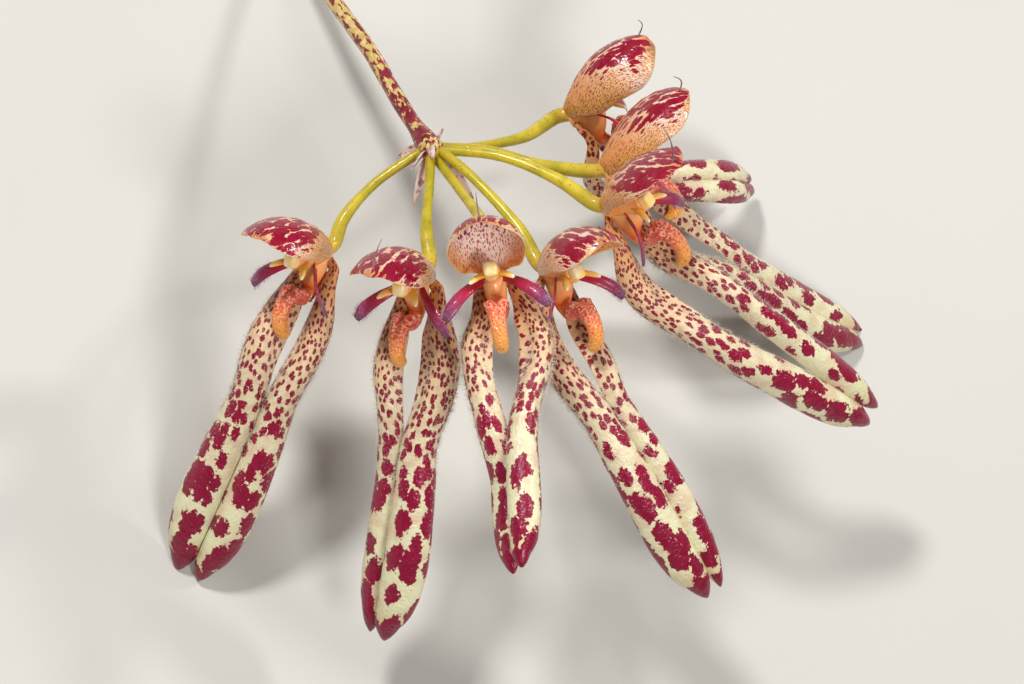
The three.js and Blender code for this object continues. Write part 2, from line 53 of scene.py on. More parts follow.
# at is a flower's place, faces the way its hood points and hangs the way its lip hangs. root and via are
# the route of its pedicel. hood is the lift of the hood's margin beside the column, of the margin in front
# and of the crest, patch how far down the hood its crimson comes, bristle how far up and forward its bristle
# reaches. seam is the line between the two lateral sepals, front the way they look, opening the millimetres
# between it and each of them where they part most, join the share of their length at which they meet, and
# flat, where given, the share of their height that they keep. The rest hold a value for the left and for the
# right side: turned is how far a petal is turned on itself and cant how far a sepal leans, in degrees, flaps
# how far a sepal's inner edge spreads near its root, wide its share of the full width and tucked how far it
# slides under the other.
flowers = [
    {"at": (-12.3, -12.2, 4), "faces": (-0.65, -0.07, 0.76), "hangs": (-0.2, -0.95, -0.26),
     "root": (-0.85, -0.3, 0.3), "via": [(-6.8, -4.4, 1.5), (-10.5, -8.7, 3)],
     "hood": (0, 0, -0.7), "patch": 0.95, "bristle": (0.9, 0.1),
     "front": (-0.15, 0, 1), "opening": 1.1, "join": 0.42,
     "turned": (0, 62), "flaps": (0.8, 0.4), "wide": (1.1, 0.98), "cant": (5, 15), "tucked": (0, 0),
     "seam": [(-15.6, -20.5, 4), (-18.3, -26.2, 4), (-21.2, -33.4, 0.5), (-25.3, -42.4, -4.5),
              (-29.8, -52, -10.5)]},
    {"at": (-0.5, -14.7, 11), "faces": (-0.47, -0.22, 0.86), "hangs": (-0.06, -0.96, -0.28),
     "root": (0, -0.8, 0.6), "via": [(-0.1, -4.5, 4), (-0.4, -10, 8.5)],
     "hood": (-0.1, -0.1, -0.9), "patch": 0.95, "bristle": (3.6, -1.6),
     "front": (-0.1, 0, 1), "opening": 1.8, "join": 0.44,
     "turned": (0, 15), "flaps": (0.7, 1.1), "wide": (0.9, 1.1), "cant": (40, 5), "tucked": (0.4, 0),
     "seam": [(-1.5, -22, 11), (-2.3, -28.9, 10.5), (-3.6, -36.3, 8), (-5, -46, 4.5), (-7.2, -59.2, -2)]},
    {"at": (7.7, -15, 16), "faces": (-0.09, 0.2, 0.98), "hangs": (0.14, -0.97, 0.2),
     "root": (0.45, -0.85, 0.1), "via": [(3.6, -5.2, 5), (6.6, -9.8, 12)],
     "hood": (-0.8, 0.3, 0), "patch": 0.8, "bristle": (3.2, 0),
     "front": (0, 0, 1), "opening": 2.5, "join": 0.56,
     "turned": (0, 0), "flaps": (0.6, 1.4), "wide": (0.95, 0.82), "cant": (45, 10), "tucked": (0.8, 0),
     "seam": [(9.4, -22, 18), (9.1, -28.5, 20.5), (9.2, -33.8, 22.5), (9.3, -41.9, 25.5),
              (9.8, -49.8, 28)]},
    {"at": (13.7, -14.5, 8), "faces": (0.57, 0.08, 0.82), "hangs": (0.3, -0.94, -0.12),
     "root": (0.8, -0.15, 0.55), "via": [(5.4, -3.9, 3.5), (10.8, -10, 6)],
     "hood": (-0.4, -0.8, -0.9), "patch": 0.9, "bristle": (1.4, 0.1),
     "front": (0.1, 0, 1), "opening": 1.1, "join": 0.4,
     "turned": (64, 0), "flaps": (0.2, 0.8), "wide": (1.03, 0.7), "cant": (5, 50), "tucked": (0, 0),
     "seam": [(16.3, -22, 7.2), (19.6, -27.7, 8.5), (23, -33.2, 7), (27.7, -40.6, 4), (34.8, -53.6, -2.9)]},
    {"at": (20.9, -7.1, 4), "faces": (0.72, 0.24, 0.65), "hangs": (0.57, -0.75, -0.35),
     "root": (0.97, -0.15, 0.05), "via": [(8.6, -1.1, 1.8), (15.6, -4, 3.2)],
     "hood": (1, 1.3, -1.1), "patch": 1, "bristle": (5.2, 2.2),
     "front": (0.1, 0, 1), "opening": 1.8, "join": 0.88,
     "turned": (50, 0), "flaps": (0.8, 0.6), "wide": (0.98, 0.8), "cant": (15, 35), "tucked": (0, 0),
     "seam": [(27.1, -14.9, 2), (33, -18.7, 2), (38.6, -22.4, -1), (45.4, -26.5, -7),
              (54.6, -32.4, -15.8)]},
    {"at": (20.8, -2.6, -8), "faces": (0.85, 0.52, -0.03), "hangs": (0.44, -0.74, -0.51),
     "root": (0.75, 0.1, -0.65), "via": [(7.2, -0.2, -3.7), (13.4, -1.9, -6.8)],
     "hood": (0.8, 0.9, 0.4), "patch": 0.68, "bristle": (2.2, 0.2),
     "front": (0.3, 0.1, 1), "opening": 1.6, "join": 0.5,
     "turned": (0, 0), "flaps": (0.6, 0.6), "wide": (0.9, 0.8), "cant": (10, 60), "tucked": (0, 0),
     "seam": [(30.2, -10.4, -15.1), (35.6, -12.8, -18.5), (40.9, -15.9, -24.5), (47.6, -19.6, -32.5),
              (54.4, -22.6, -40.6)]},
    {"at": (16.6, 4.5, -17.8), "faces": (0.78, 0.55, 0.2), "hangs": (0.61, -0.7, -0.39),
     "root": (0.2, -0.3, -0.93), "via": [(6.4, 0.5, -8), (11.5, 1.8, -13)],
     "hood": (-1.2, -2, -0.5), "patch": 0.62, "bristle": (1.8, 1.4),
     "front": (0.3, 0.2, 1), "opening": 1.8, "join": 0.42, "flat": 0.5,
     "turned": (0, 0), "flaps": (0.5, 0.5), "wide": (0.6, 0.6), "cant": (15, 20), "tucked": (0, 0),
     "seam": [(22.3, -2.8, -21.4), (27.2, -3.9, -23), (32.4, -3.3, -26), (37, -3.2, -30.6),
              (40.3, -3.6, -38)]},
]


# Small sums that the shapes share.

def smoothstep(value, low, high):
    share = min(max((value - low) / (high - low), 0), 1)
    return share * share * (3 - 2 * share)


def blend(a, b, share):
    return a + (b - a) * share


def readRows(rows, place):  # smooth values from rows that each start with their own place
    i = max(1, min(len(rows) - 1, bisect([row[0] for row in rows], place)))
    a, b = rows[i - 1], rows[i]
    span = b[0] - a[0]
    u = (place - a[0]) / span
    values = []
    for c in range(1, len(a)):
        slopes = []
        for k in (i - 1, i):
            low, high = rows[max(k - 1, 0)], rows[min(k + 1, len(rows) - 1)]
            slopes.append((high[c] - low[c]) / (high[0] - low[0]) * span)
        rise = b[c] - a[c]
        curve = slopes[0] * u + (3 * rise - 2 * slopes[0] - slopes[1]) * u ** 2
        values.append(a[c] + curve + (slopes[0] + slopes[1] - 2 * rise) * u ** 3)
    return values


def readList(values, share):  # the same from an evenly spaced list
    rows = [(i / (len(values) - 1), value) for i, value in enumerate(values)]
    return readRows(rows, share)[0]


def curveThrough(points, pieces=30):  # read by the share of its length, it gives a place and a tangent
    knots = [Vector(p) for p in points]
    knots = [knots[0] * 2 - knots[1]] + knots + [knots[-1] * 2 - knots[-2]]
    trail = [knots[1]]
    for a, b, c, d in zip(knots, knots[1:], knots[2:], knots[3:]):
        before, span, after = [math.sqrt((q - p).length) for p, q in ((a, b), (b, c), (c, d))]
        leave = ((b - a) / before - (c - a) / (before + span) + (c - b) / span) * span
        reach = ((c - b) / span - (d - b) / (span + after) + (d - c) / after) * span
        for i in range(1, pieces + 1):
            u = i / pieces
            square = ((c - b) * 3 - leave * 2 - reach) * u ** 2
            trail.append(b + leave * u + square + ((b - c) * 2 + leave + reach) * u ** 3)
    lengths = [0]
    for p, q in zip(trail, trail[1:]):
        lengths.append(lengths[-1] + (q - p).length)
    last = len(trail) - 1
    tangents = [(trail[min(i + 1, last)] - trail[max(i - 1, 0)]).normalized() for i in range(last + 1)]

    def at(share):
        wanted = min(max(share, 0), 1) * lengths[-1]
        i = max(1, min(last, bisect(lengths, wanted)))
        u = (wanted - lengths[i - 1]) / (lengths[i] - lengths[i - 1])
        return trail[i - 1].lerp(trail[i], u), tangents[i - 1].lerp(tangents[i], u).normalized()
    at.length = lengths[-1]
    return at


# Mesh helpers. Every closed skin is a grid whose first and last columns meet, and whose end rows draw
# together, so merging them closes it. flow places the markings and share says where on the piece they are.

def startMesh():
    bm = bmesh.new()
    bm.verts.layers.float_vector.new("flow")
    bm.verts.layers.float_vector.new("share")
    return bm


def layGrid(bm, around, rows, surface, finish=0):
    before = len(bm.faces)
    made = bmesh.ops.create_grid(bm, x_segments=around, y_segments=rows, size=1)["verts"]
    bm.faces.ensure_lookup_table()
    for face in bm.faces[before:]:
        face.material_index = finish
    flow, share = bm.verts.layers.float_vector["flow"], bm.verts.layers.float_vector["share"]
    for vert in made:
        column = round((vert.co.x + 1) / 2 * around) % around
        row = round((vert.co.y + 1) / 2 * rows)
        vert.co, vert[flow], vert[share] = surface(column, row)
    bmesh.ops.remove_doubles(bm, verts=made, dist=1e-5)


def layTube(bm, route, radiusAt, around, rows, finish=0, lot=0, flatAt=lambda share: 1.0, facing=None):
    curve = curveThrough(route)
    frames = []
    side = Vector(facing) if facing else Vector((0.3, 0.2, 0.9))
    for row in range(rows + 1):
        share = min(max((row - 1) / (rows - 2), 0), 1)  # the end rows are the middles of the flat ends
        place, tangent = curve(share)
        side = (side - tangent * side.dot(tangent)).normalized()
        radius = 0 if row in (0, rows) else radiusAt(share)
        frames.append((share, place, side, tangent.cross(side), radius))

    def surface(column, row):
        share, place, up, across, radius = frames[row]
        angle = 2 * math.pi * column / around
        reach = across * math.cos(angle) + up * math.sin(angle) * flatAt(share)
        return place + reach * radius, (angle, share * curve.length, lot), (share, math.sin(angle), lot)
    layGrid(bm, around, rows, surface, finish)


def finishPiece(name, bm, finishes, nodes=(), levels=1):
    bmesh.ops.recalc_face_normals(bm, faces=bm.faces)
    bm.transform(umbelToPart)
    for vert in bm.verts:
        vert.co.z = max(vert.co.z, 0)  # what bears on the surface lies flat on it
    mesh = bpy.data.meshes.new(name)
    bm.to_mesh(mesh)
    bm.free()
    for finish in finishes:
        mesh.materials.append(finish)
    mesh.shade_smooth()
    piece = bpy.data.objects.new(name, mesh)
    bpy.context.scene.collection.objects.link(piece)
    if levels:
        finer = piece.modifiers.new("finer", "SUBSURF")
        finer.levels = finer.render_levels = levels
    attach(piece, "root")
    if nodes:
        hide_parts(*nodes)
    return piece


def headFrame(flower):  # a flower's own frame: X to the right as one faces it, Y up, Z forward
    forward = Vector(flower["faces"]).normalized()
    right = forward.cross(Vector(flower["hangs"])).normalized()
    turned = Matrix((right, forward.cross(right), forward)).transposed().to_4x4()
    return Matrix.Translation(flower["at"]) @ turned


def inHead(head, points, side=1):  # side -1 mirrors them to the left
    return [head @ Vector((side * x, y, z)) for x, y, z in points]


# Node helpers. They lay their nodes in the finish that startFinish began last.
painting = {}


def colour(code):
    value = Color([int(code[i:i + 2], 16) / 255 for i in (0, 2, 4)])
    return (*value.from_srgb_to_scene_linear(), 1)


def put(kind, values=(), **settings):
    tree = painting["tree"]
    made = tree.nodes.new("ShaderNode" + kind)
    for name, value in settings.items():
        setattr(made, name, value)
    for socket, value in values.items() if isinstance(values, dict) else enumerate(values):
        if isinstance(value, bpy.types.NodeSocket):
            tree.links.new(value, made.inputs[socket])
        else:
            made.inputs[socket].default_value = value
    return made.outputs


def maths(operation, *values):
    return put("Math", values, operation=operation)[0]


def times(a, b):
    return maths("MULTIPLY", a, b)


def plus(a, b):
    return maths("ADD", a, b)


def minus(a, b):
    return maths("SUBTRACT", a, b)


def ease(value, low, high, toLow=0, toHigh=1):
    return put("MapRange", (value, low, high, toLow, toHigh), interpolation_type="SMOOTHSTEP")[0]


def mix(share, *both):  # two colours, each a code or a socket
    a, b = [colour(each) if isinstance(each, str) else each for each in both]
    return put("Mix", {0: share, 6: a, 7: b}, data_type="RGBA")[2]


def grain(vector, scale, detail=2, rough=0.5):
    return put("TexNoise", {0: vector, 2: scale, 3: detail, 4: rough})[0]


def drift(place, scale, low, high, detail=2):  # a value that wanders between two
    return ease(grain(place, scale, detail), 0.3, 0.7, low, high)


def cells(vector, scale, dimensions="2D"):  # a dot to a cell: the distance from it and its own colour
    return put("TexVoronoi", {0: vector, 2: scale}, voronoi_dimensions=dimensions)


def stretch(vector, factors):
    return put("VectorMath", (vector, factors), operation="MULTIPLY")[0]


def attribute(name):
    return put("Attribute", attribute_name=name)["Vector"]


def objectPlace():
    return put("TexCoord")["Object"]


def parts(vector):
    return put("SeparateXYZ", (vector,))


def shares():
    return parts(attribute("share"))


def ramp(value, stops, values=False):
    made = put("ValToRGB", (value,))
    band = made[0].node.color_ramp
    while len(band.elements) < len(stops):
        band.elements.new(1)
    for element, (place, shown) in zip(band.elements, stops):
        element.position = place
        element.color = (shown, shown, shown, 1) if values else colour(shown)
    return made[0]


def startFinish(name, look):
    made = bpy.data.materials.new(name)
    made.use_nodes = True
    painting["tree"] = made.node_tree
    shader = made.node_tree.nodes["Principled BSDF"]
    for socket, value in look.items():
        shader.inputs[socket].default_value = value
    return made, shader


def wear(shader, shown, roughness=None, height=None, depth=0.00003):
    links = painting["tree"].links
    links.new(shown, shader.inputs["Base Color"])
    if roughness is not None:
        links.new(roughness, shader.inputs["Roughness"])
    if height is not None:
        bump = put("Bump", {"Strength": 0.7, "Distance": depth, "Height": height})[0]
        links.new(bump, shader.inputs["Normal"])
        links.new(bump, shader.inputs["Coat Normal"])


fleshy = {"Subsurface Weight": 0.1, "Subsurface Radius": (1, 0.4, 0.25), "Subsurface Scale": 0.0005,
          "Coat Weight": 0.3, "Coat Roughness": 0.06, "IOR": 1.34}

# Cream skin under maroon dots that grow into jagged crimson blotches towards the tip.
sepalFinish = {
    "ground": [(0, "b8702e"), (0.06, "c68c50"), (0.16, "d6b284"), (0.32, "dccaa4"), (0.5, "dcd2ae"),
               (0.85, "dcd8b0"), (1, "c4b484")],
    "dots": [(0, "601c12"), (0.2, "741224"), (0.45, "88002c"), (1, "740022")],
    "blush": "c68c78", "flush": "9e0c44",
    # how far a dot reaches at each share of the length
    "cover": [(0, 0.3), (0.1, 0.34), (0.3, 0.36), (0.42, 0.42), (0.62, 0.5), (0.88, 0.51), (0.95, 0.57),
              (1, 0.9)],
    "dotShape": (1.18, 0.72, 1), "wander": (0.55, 0.55, 0), "wrinkleShape": (1, 0.45, 1), "depth": 0.00011,
}


def makeSepalSkin():
    made, shader = startFinish("sepalSkin", fleshy)
    flow, place = attribute("flow"), objectPlace()
    along, inward, _ = shares()
    patch = ease(grain(flow, 0.9, 3), 0.42, 0.68)
    ground = ramp(along, sepalFinish["ground"])
    blushed = mix(times(patch, 0.4), ground, sepalFinish["blush"])
    wander = put("TexNoise", {0: flow, 2: 1.1, 3: 2, 4: 0.5})[1]
    moved = put("VectorMath", (wander, sepalFinish["wander"], flow), operation="MULTIPLY_ADD")[0]
    spots = cells(stretch(moved, sepalFinish["dotShape"]), 1)
    size = minus(parts(spots[1])[0], 0.5)
    ragged = ease(along, 0.1, 0.55, 0.3, 0.8)
    fray = times(minus(grain(flow, 4.5, 3, 0.62), 0.5), ragged)
    edge = plus(spots[0], fray)
    limit = ramp(along, sepalFinish["cover"], values=True)
    limit = plus(limit, times(size, ease(along, 0.2, 0.8, 0.2, 0.16)))
    limit = plus(limit, ease(along, 0.93, 0.975, 0, 0.6))  # the very tip is all crimson
    paler = times(ease(inward, 0.1, 0.75), ease(along, 0.4, 0.6, 0.02, 0.22))
    mask = ease(minus(minus(limit, paler), edge), -0.025, 0.025)
    edgeAt = ease(along, 0.45, 0.7, 0.92, 0.8)
    rim = ease(minus(maths("ABSOLUTE", inward), edgeAt), 0, 0.06, 1, 0.08)
    flushed = ease(grain(place, 1400, 3), 0.35, 0.7, 0, 0.4)
    deep = mix(flushed, ramp(along, sepalFinish["dots"]), sepalFinish["flush"])
    shown = mix(times(mask, rim), blushed, deep)
    wrinkles = times(grain(stretch(flow, sepalFinish["wrinkleShape"]), 6, 2), 1.2)
    pimples = plus(times(grain(place, 2700, 2), 1.4), wrinkles)
    roughness = drift(place, 1100, 0.2, 0.4, 3)
    wear(shader, shown, roughness, pimples, sepalFinish["depth"])
    return made


# Peach skin, golden low on its sides, with fine red dashes along it and brown pepper dots on its flanks. A
# crimson patch over its front leaves pale windows. Pairs of colours run from the base to the front, the
# lining's from the middle to the margin. The lining's pale middle is painted lighter than its own
# pink-cream, near white, as painted light where the hood shades its inside.
hoodFinish = {
    "look": {**fleshy, "Subsurface Weight": 0.4, "Subsurface Scale": 0.0012},
    "ground": [(0, "bd7a22"), (0.14, "c9873c"), (0.32, "d59a68"), (0.52, "dbb898"), (0.8, "dfcfbe"),
               (0.91, "d8b488"), (1, "a46c30")],
    # the lining pair keeps its pink-cream to golden gradient, but its middle is painted near white: painted
    # light against the shade inside the hood
    "cloud": "dd9a6a", "lowSide": "c8974e", "liningWithPaintedLight": ("ffe6dc", "eeb474"),
    "patch": ("820020", "98083a"), "patchInside": "823a70",
    "dashes": ("8c3418", "b0203c"), "pepper": ("743c1c", "84564e"),
    # how far a marking of the patch reaches at each share of the length, and how far down the patch comes
    "cover": [(0, 0.02), (0.14, 0.12), (0.3, 0.2), (0.4, 0.36), (0.5, 0.55), (0.9, 0.6), (0.99, 0.3)],
    "lowEdge": [(0.3, 0.4), (0.5, 0.62), (0.66, 0.74), (0.8, 0.96), (1, 1)],
    "dashShape": (1, 0.4, 1), "depth": 0.00009,
}


def makeHoodSkin():
    made, shader = startFinish("hoodSkin", hoodFinish["look"])
    flow, place = attribute("flow"), objectPlace()
    along, sideways, kind = shares()
    inside, reach = maths("LESS_THAN", kind, 0), maths("ABSOLUTE", kind)
    aside = maths("ABSOLUTE", sideways)
    ground = ramp(along, hoodFinish["ground"])
    clouded = ease(grain(flow, 0.7, 2), 0.35, 0.65, 0, 0.5)
    ground = mix(clouded, ground, hoodFinish["cloud"])
    low = times(ease(aside, 0.4, 0.85), ease(along, 0.45, 0.75, 0.75, 0.1))
    ground = mix(low, ground, hoodFinish["lowSide"])
    # the inside takes the lining pair, painted lighter than its own colour as painted light where the hood
    # shades it
    ground = mix(inside, ground, mix(ease(aside, 0.45, 0.9), *hoodFinish["liningWithPaintedLight"]))
    # the patch: large ragged dashes as far as its low edge, parted by two pale lines beside the crown
    streaked = stretch(flow, hoodFinish["dashShape"])
    large = cells(streaked, 1.6)
    fray = times(minus(grain(streaked, 5, 3, 0.6), 0.5), 0.62)
    edge = plus(large[0], fray)
    size = times(parts(large[1])[0], 0.24)
    cover = ramp(along, hoodFinish["cover"], values=True)
    lowEdge = ramp(along, hoodFinish["lowEdge"], values=True)
    beyond = minus(aside, times(lowEdge, reach))
    sides = plus(ease(beyond, -0.1, 0.1, 0, 0.46), ease(beyond, 0.1, 0.34, 0, 0.5))
    strip = ease(maths("ABSOLUTE", minus(aside, 0.13)), 0.03, 0.1, 0.22, 0)
    limit = minus(plus(cover, size), plus(sides, strip))
    limit = minus(limit, times(inside, ease(along, 0.74, 0.86, 0.34, 0)))
    mask = ease(minus(limit, edge), -0.03, 0.03)
    # the fine dashes, larger on the lining, and the pepper dots
    specks = cells(streaked, 3)
    fine = plus(specks[0], times(parts(specks[1])[1], 0.24))
    fine = minus(fine, times(inside, ease(aside, 0.2, 0.7, 0.14, 0.07)))
    fine = times(ease(fine, 0.22, 0.34, 1, 0), ease(along, 0.05, 0.3, 0.55, 0.85))
    pepper = ease(cells(flow, 3.4)[0], 0.2, 0.32, 0.8, 0)
    pepper = times(pepper, ease(aside, 0.3, 0.6, 0.1, 1))
    pepper = times(pepper, minus(1, times(inside, 0.65)))
    rim = ease(aside, 0.955, 0.985, 1, 0.1)
    deep = mix(ease(grain(place, 1500, 3), 0.35, 0.7, 0, 0.6), *hoodFinish["patch"])
    deep = mix(times(inside, 0.7), deep, hoodFinish["patchInside"])
    warm = mix(ease(along, 0.1, 0.4), *hoodFinish["dashes"])
    dusky = mix(ease(along, 0.5, 0.8), *hoodFinish["pepper"])
    shown = mix(times(fine, rim), ground, warm)
    shown = mix(times(pepper, rim), shown, dusky)
    deep = mix(ease(along, 0.1, 0.36), warm, deep)
    shown = mix(times(mask, rim), shown, deep)
    roughness = drift(place, 900, 0.2, 0.36, 3)
    wear(shader, shown, roughness, grain(place, 2300, 3), hoodFinish["depth"])
    return made


petalFinish = {
    "ground": [(0, "cc7a30"), (0.1, "b01a2a"), (0.48, "a80e36"), (0.7, "941f4c"), (0.88, "743458"),
               (1, "4a283c")],
    "veins": 9, "vein": "6a1230", "dust": "a87c98", "depth": 0.00005,
}


def makePetalSkin():
    made, shader = startFinish("petalSkin", fleshy)
    place = objectPlace()
    along, across, _ = shares()
    veins = maths("ABSOLUTE", maths("SINE", times(across, petalFinish["veins"])))
    veined = times(ease(veins, 0.75, 1), 0.35)
    ground = mix(veined, ramp(along, petalFinish["ground"]), petalFinish["vein"])
    dusty = ease(along, 0.4, 0.9, 0.06, 0.5)
    dust = times(ease(grain(place, 4200, 3), 0.45, 0.7), dusty)
    shown = mix(dust, ground, petalFinish["dust"])
    roughness = drift(place, 1500, 0.35, 0.55)
    wear(shader, shown, roughness, grain(place, 3600, 3), petalFinish["depth"])
    return made


lipFinish = {
    "ground": [(0, "dd7c62"), (0.16, "d85a42"), (0.3, "d2402c"), (0.5, "de6034"), (0.7, "e68a3a"),
               (1, "ecae4a")],
    "warts": [(0, "f8c2b4"), (0.45, "f4a684"), (0.72, "f2ae66"), (1, "f4c270")],
    "wartScale": 3200, "dot": "931420", "dotScale": 2100, "depth": 0.00016,
}


def makeLipSkin():
    made, shader = startFinish("lipSkin", fleshy)
    place = objectPlace()
    along, upward, _ = shares()
    warts = cells(place, lipFinish["wartScale"], "3D")
    pale = times(ease(warts[0], 0.4, 0.65, 1, 0), ease(upward, -0.5, 0.3))
    pale = times(pale, ease(along, 0.3, 0.9, 0.9, 0.4))
    rosy = mix(pale, ramp(along, lipFinish["ground"]), ramp(along, lipFinish["warts"]))
    dots = cells(place, lipFinish["dotScale"], "3D")
    chosen = ease(parts(dots[1])[1], 0.28, 0.36)
    mask = times(ease(dots[0], 0.16, 0.28, 1, 0), chosen)
    shown = mix(times(mask, 0.8), rosy, lipFinish["dot"])
    roughness = drift(place, 1500, 0.2, 0.36)
    wear(shader, shown, roughness, minus(1, warts[0]), lipFinish["depth"])
    return made


# These skins are alike: a ground from root to tip, or in clouds, under round dots. clouds, patches and the
# first of dots, rough and relief are how many fit in a metre. Then dots has where a dot starts and ends to
# fade, rough its least and greatest roughness and relief its depth. strength is that of the dots at the root
# and at the tip.
plainSkins = {
    "column": {"ground": [(0.3, "ee9c52"), (0.5, "f4ac68"), (0.7, "f6b97c")], "clouds": 500,
               "dots": (2100, 0.1, 0.22), "strength": (0.35, 0.35), "dot": "b04a24",
               "rough": (1500, 0.25, 0.4), "relief": (3000, 0.00004)},
    "foot": {"ground": [(0, "f6b676"), (0.25, "f4a566"), (0.5, "ee8844"), (0.68, "e35c24"), (0.82, "e88a54"),
                        (1, "d0562e")],
             "dots": (2000, 0.14, 0.26), "strength": (0.2, 0.7), "dot": "8c2020",
             "rough": (1500, 0.28, 0.45), "relief": (3000, 0.00004)},
    "cap": {"ground": [(0.3, "f8cc68"), (0.5, "fedc92"), (0.72, "ffebc0")], "clouds": 700,
            "rough": (1500, 0.2, 0.34), "relief": (2500, 0.00003)},
    "tooth": {"ground": [(0, "ea9c34"), (0.5, "f0b03c"), (0.8, "f2c468"), (1, "f6e6c2")],
              "dots": (2400, 0.1, 0.2), "strength": (0.6, 0.6), "dot": "b0442c",
              "rough": (1500, 0.25, 0.4), "relief": (3000, 0.00004)},
    "pedicel": {"ground": [(0, "a8901c"), (0.12, "bba424"), (0.5, "c4b02e"), (0.85, "ccb63a"),
                           (1, "d4a440")],
                "patches": 420, "patch": "96901e",
                "dots": (1900, 0.12, 0.22), "strength": (0.7, 0.7), "dot": "7c4a20",
                "rough": (1200, 0.26, 0.42), "relief": (2400, 0.00004)},
    "cut": {"ground": [(0.3, "a9a25c"), (0.5, "c7c08a"), (0.7, "dcd7ae")], "clouds": 2600,
            "rough": (1200, 0.5, 0.7), "relief": (3400, 0.00005), "look": {"Coat Weight": 0.1}},
}


def makePlainSkin(name, finish):
    made, shader = startFinish(name + "Skin", finish.get("look", fleshy))
    place, along = objectPlace(), shares()[0]
    spread = grain(place, finish["clouds"], 3) if "clouds" in finish else along
    shown = ramp(spread, finish["ground"])
    if "patch" in finish:
        patchy = ease(grain(place, finish["patches"], 3), 0.4, 0.66, 0, 0.6)
        shown = mix(patchy, shown, finish["patch"])
    if "dot" in finish:
        scale, whole, gone = finish["dots"]
        dots = ease(cells(place, scale, "3D")[0], whole, gone, 1, 0)
        dots = times(dots, ease(along, 0.2, 0.6, *finish["strength"]))
        shown = mix(dots, shown, finish["dot"])
    scale, depth = finish["relief"]
    wear(shader, shown, drift(place, *finish["rough"]), grain(place, scale), depth)
    return made


# Tan skin, mottled crimson in long patches that run together towards the hub.
stalkFinish = {
    "ground": [(0.3, "b4924a"), (0.5, "c8ae68"), (0.7, "d8c48c")], "mottles": ("6a1220", "92283a"),
    # the ground shows where the grain is under this, at each share of the length
    "bareBelow": [(0, 0.55), (0.5, 0.54), (0.78, 0.49), (0.97, 0.4)], "mottleShape": (0.9, 0.34, 1),
}


def makeStalkSkin():
    made, shader = startFinish("stalkSkin", fleshy)
    place, flow = objectPlace(), attribute("flow")
    along = shares()[0]
    ground = ramp(grain(flow, 0.8, 3), stalkFinish["ground"])
    mottled = grain(stretch(flow, stalkFinish["mottleShape"]), 1.5, 5, 0.6)
    limit = ramp(along, stalkFinish["bareBelow"], values=True)
    mask = ease(minus(mottled, limit), -0.02, 0.02)
    deep = mix(ease(grain(place, 900, 3), 0.35, 0.7), *stalkFinish["mottles"])
    shown = mix(mask, ground, deep)
    wear(shader, shown, drift(place, 1200, 0.3, 0.48), grain(place, 2400), 0.00004)
    return made


bractFinish = {
    "look": {"Subsurface Weight": 0.2, "Subsurface Scale": 0.0006},
    "ground": [(0, "a86a6c"), (0.3, "d8b4a8"), (0.7, "e6d2c6"), (1, "c9a08e")],
    "lines": 8, "line": "b98a84", "blotch": "7d2f55",
}


def makeBractSkin():
    made, shader = startFinish("bractSkin", bractFinish["look"])
    place = objectPlace()
    along, across, _ = shares()
    lines = maths("ABSOLUTE", maths("SINE", times(across, bractFinish["lines"])))
    lined = times(ease(lines, 0.8, 1), 0.3)
    ground = mix(lined, ramp(along, bractFinish["ground"]), bractFinish["line"])
    blotched = times(ease(grain(place, 1100, 4, 0.6), 0.53, 0.6), 0.75)
    shown = mix(blotched, ground, bractFinish["blotch"])
    wear(shader, shown, drift(place, 1500, 0.45, 0.65), grain(place, 3600), 0.00004)
    return made


def makeHairSkin(name, root, tip):
    made, shader = startFinish(name, {"IOR": 1.5})
    place = objectPlace()
    shown = ramp(grain(place, 900, 2), [(0.35, root), (0.65, tip)])
    wear(shader, shown, drift(place, 1500, 0.3, 0.5))
    return made


skins = {name: makePlainSkin(name, finish) for name, finish in plainSkins.items()}
skins.update({
    "sepal": makeSepalSkin(), "hood": makeHoodSkin(), "petal": makePetalSkin(), "lip": makeLipSkin(),
    "stalk": makeStalkSkin(), "bract": makeBractSkin(), "hair": makeHairSkin("hairSkin", "d8cbb8", "f2ece0"),
    "bristle": makeHairSkin("bristleSkin", "56303c", "937680"),
    "cilium": makeHairSkin("ciliumSkin", "8a6484", "c4aebc"),
})
print("finishes made")


stalk = {
    "route": [(-20.5, 32.5, -34.5), (-16.4, 25.6, -27.5), (-12.2, 18.8, -20), (-7.5, 12.1, -12.5),
              (-3.3, 4.9, -5), (0, 0, 0)],
    "radius": 1, "unevenness": 0.025, "widening": 0.5, "widensFrom": 0.9, "around": 20, "rows": 90,
    "hubRadius": 1.55, "hubLonger": 1.06, "hubAxis": (0.4, -0.6, 0.7), "hubBumps": 0.09,
    "bracts": [  # toward, length, half width
        ((-0.8, -0.1, -0.6), 4.5, 0.8), ((-0.3, -0.95, -0.05), 6, 0.9), ((0.65, -0.7, -0.25), 7, 0.9),
        ((0.1, -0.2, 0.97), 4, 0.7), ((0.3, 0.6, -0.75), 4.5, 0.9), ((-0.5, -0.5, 0.7), 4, 0.6)],
    "bractRoute": [(0.1, 0), (0.45, 0), (0.75, 0.15), (1.15, 0.5)], "bractWidths": [0.5, 1, 0.95, 0.6, 0.06],
    "bractWall": 0.16, "bractCup": 0.45,
}


# A thin curved blade: a bract, a petal or a tooth of the column
def layBlade(bm, route, face, halfWidths, wall, cup, around, rows, finish=0, lot=0):
    curve = curveThrough(route)
    half = around // 2

    def surface(column, row):
        share = row / rows
        place, tangent = curve(share)
        side = Vector(face).cross(tangent).normalized()
        up = tangent.cross(side).normalized()
        lower = column >= half
        across = 2 * (column if not lower else around - 1 - column) / (half - 1) - 1
        wide = max(readList(halfWidths, share), 0.03)
        thick = 0 if row in (0, rows) else wall * (1 - 0.55 * abs(across) ** 3)
        lift = cup * wide * (1 - across ** 2) + (-0.5 if lower else 0.5) * thick
        spot = place + side * across * wide + up * lift
        return spot, (across * wide, share * curve.length, lot), (share, across, lot)
    layGrid(bm, around, rows, surface, finish)


